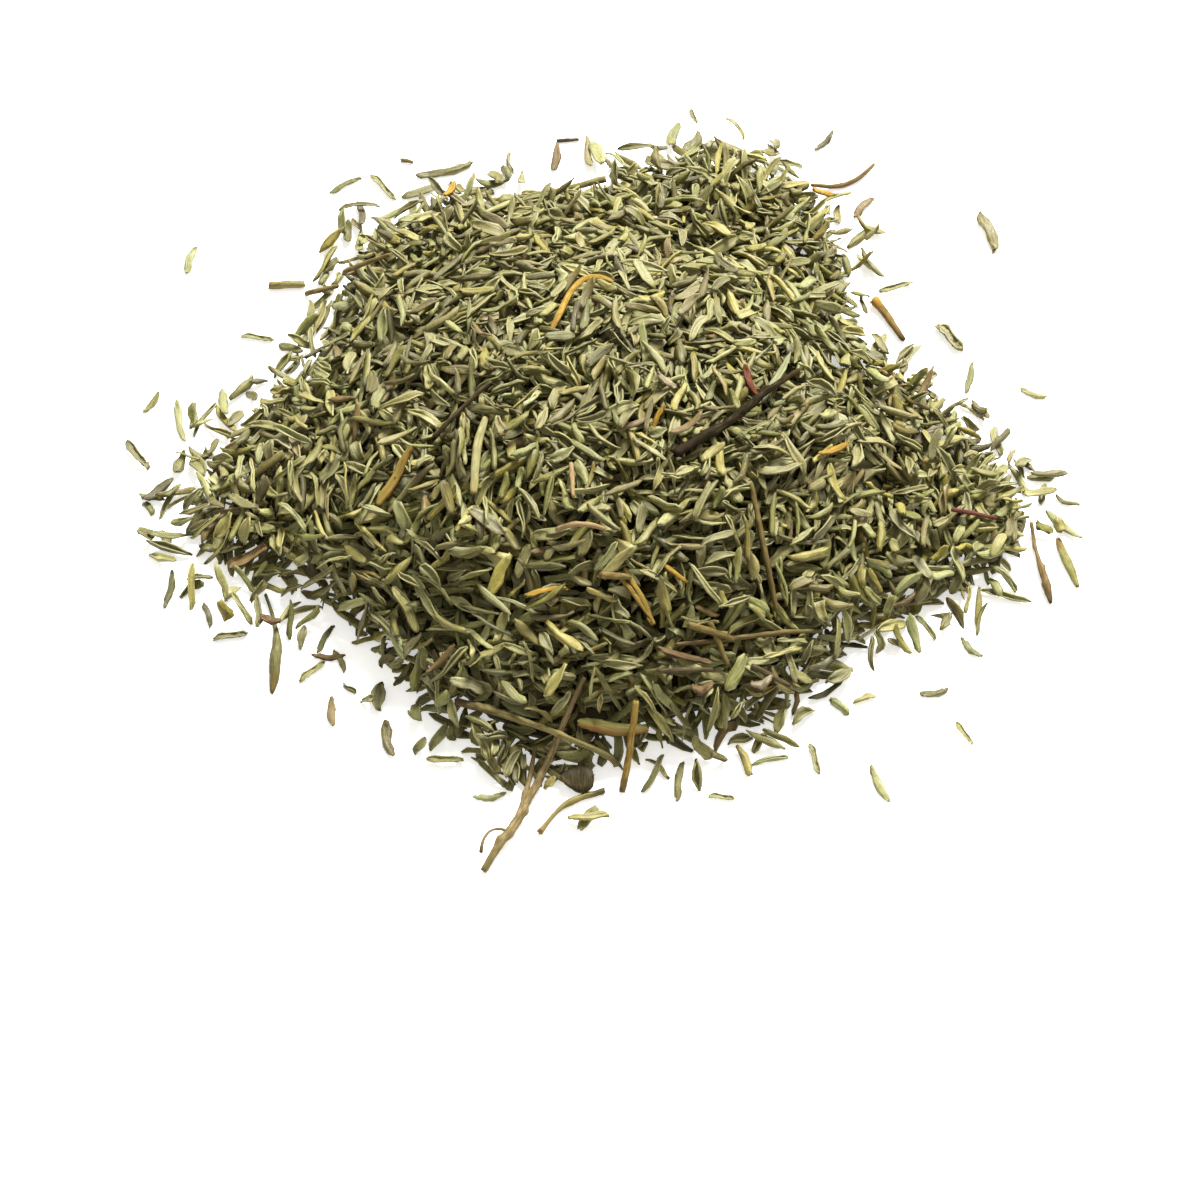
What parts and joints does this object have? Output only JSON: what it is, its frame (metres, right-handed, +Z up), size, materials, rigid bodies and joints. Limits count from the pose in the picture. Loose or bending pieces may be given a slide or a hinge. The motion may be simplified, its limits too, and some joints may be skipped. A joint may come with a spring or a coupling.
{
  "type": "heap of dried thyme leaves",
  "caption": "Loose heap of rubbed, dried thyme: small rolled grey-green leaves with bits of twig and husk, a flat underside, and single leaves scattered round it.",
  "frame": {"origin": "the point of the surface that the heap lies on, under the middle of the mound", "axes": "+X along the heap's longer side, +Y towards its back, +Z up from the surface"},
  "size_m": [0.1273, 0.124, 0.0204],
  "materials": {
    "packed_leaves": "matte",
    "dried_leaf": "matte",
    "dry_husk": "matte",
    "twig_bark": "matte",
    "dark_bark": "matte"
  },
  "bodies": {
    "root": {"bent_stalk": "twig_bark", "brown_stalk": "twig_bark", "bud_stalk": "twig_bark", "crossing_twig": "twig_bark", "curved_stalk": "twig_bark", "dark_flake": "dry_husk", "dark_stem": "dark_bark", "flower_stalk": "twig_bark", "front_husk": "dry_husk", "front_twig": "twig_bark", "gold_husk": "dry_husk", "gold_stub": "twig_bark", "knobbed_stalk": "twig_bark", "leaf_back_1": "dried_leaf", "leaf_back_2": "dried_leaf", "leaf_back_3": "dried_leaf", "leaf_back_4": "dried_leaf", "leaf_back_5": "dried_leaf", "leaf_back_6": "dried_leaf", "leaf_back_7": "dried_leaf", "leaf_front_1": "dried_leaf", "leaf_front_10": "dried_leaf", "leaf_front_11": "dried_leaf", "leaf_front_12": "dried_leaf", "leaf_front_13": "dried_leaf", "leaf_front_14": "dried_leaf", "leaf_front_2": "dried_leaf", "leaf_front_3": "dried_leaf", "leaf_front_4": "dried_leaf", "leaf_front_5": "dried_leaf", "leaf_front_6": "dried_leaf", "leaf_front_7": "dried_leaf", "leaf_front_8": "dried_leaf", "leaf_front_9": "dried_leaf", "leaf_heap": "packed_leaves", "leaf_left_1": "dried_leaf", "leaf_left_2": "dried_leaf", "leaf_left_3": "dried_leaf", "leaf_left_4": "dried_leaf", "leaf_left_5": "dried_leaf", "leaf_left_6": "dried_leaf", "leaf_left_7": "dried_leaf", "leaf_left_8": "dried_leaf", "leaf_right_1": "dried_leaf", "leaf_right_2": "dried_leaf", "leaf_right_3": "dried_leaf", "leaf_right_4": "dried_leaf", "leaf_right_5": "dried_leaf", "long_leaf": "dried_leaf", "orange_curl": "dry_husk", "pale_stub": "twig_bark", "rear_brown_husk": "dry_husk", "rear_husk": "dry_husk", "rear_stalk": "twig_bark", "right_sliver": "dry_husk", "split_husk": "dry_husk", "straw_blade": "twig_bark", "thin_stem": "twig_bark", "woody_chip": "twig_bark", "yellow_leaf": "dried_leaf"}
  },
  "joints": []
}
